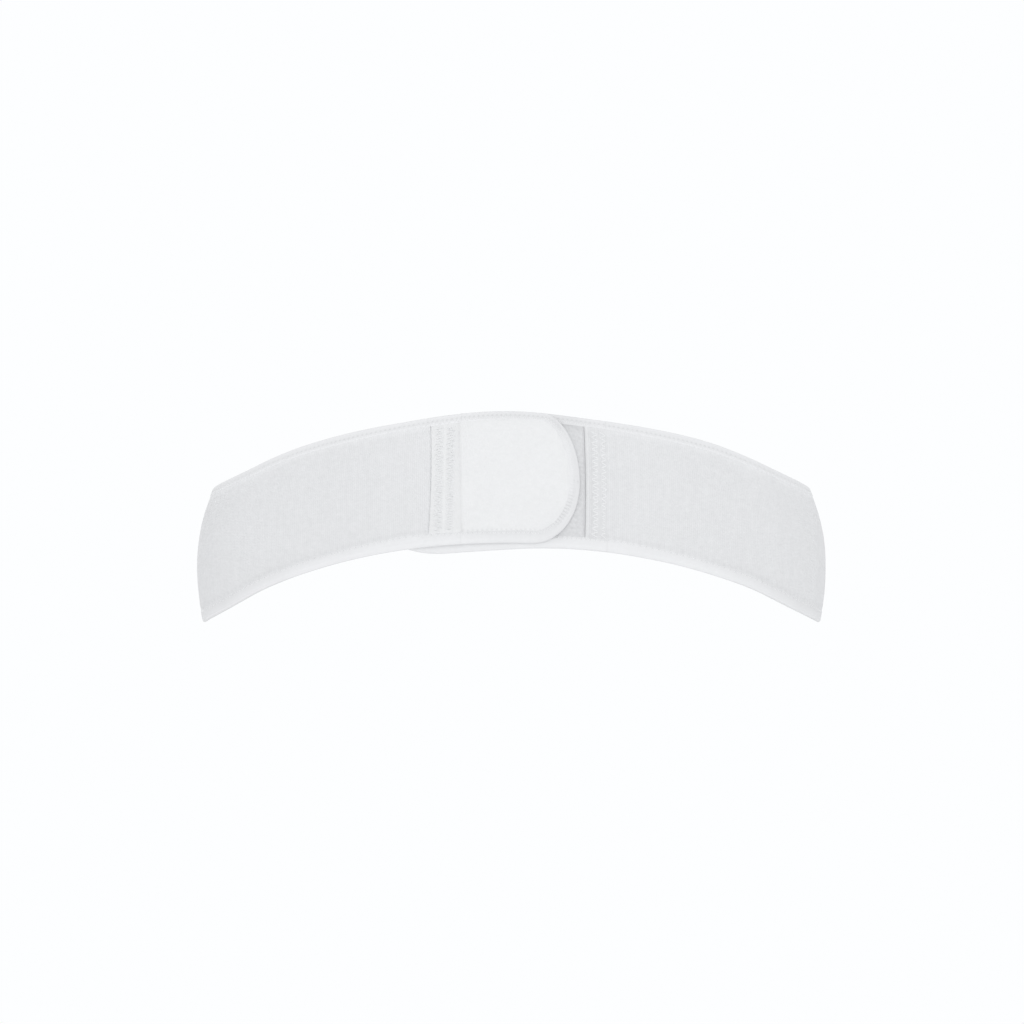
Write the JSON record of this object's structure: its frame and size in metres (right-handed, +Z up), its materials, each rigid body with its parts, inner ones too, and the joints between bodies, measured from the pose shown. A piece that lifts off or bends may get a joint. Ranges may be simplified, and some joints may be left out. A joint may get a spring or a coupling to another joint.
{
  "type": "chest compression band",
  "caption": "Elastic chest compression band with bound edges: an arched loop worn round the chest and closed in front by a rounded plush hook-and-loop tab.",
  "frame": {"origin": "middle of the chest that the band is worn round, level with the middle of the band's front", "axes": "+X across the chest, to the right as the band is seen from the front; -Y out of the front, where the tab closes; +Z up"},
  "size_m": [0.3753, 0.2117, 0.1242],
  "materials": {
    "knit_elastic": "matt ribbed knit",
    "plush_cloth": "soft brushed pile",
    "landing_cloth": "matt loop pile",
    "hook_tape": "matt woven tape with short hooks",
    "binding_tape": "smooth folded tape"
  },
  "bodies": {
    "root": {"elastic_band": "knit_elastic", "closure_tab": "plush_cloth", "landing_tab": "landing_cloth", "hook_patch": "hook_tape", "top_binding": "binding_tape", "bottom_binding": "binding_tape", "tab_binding": "binding_tape", "landing_binding": "binding_tape"}
  },
  "joints": []
}
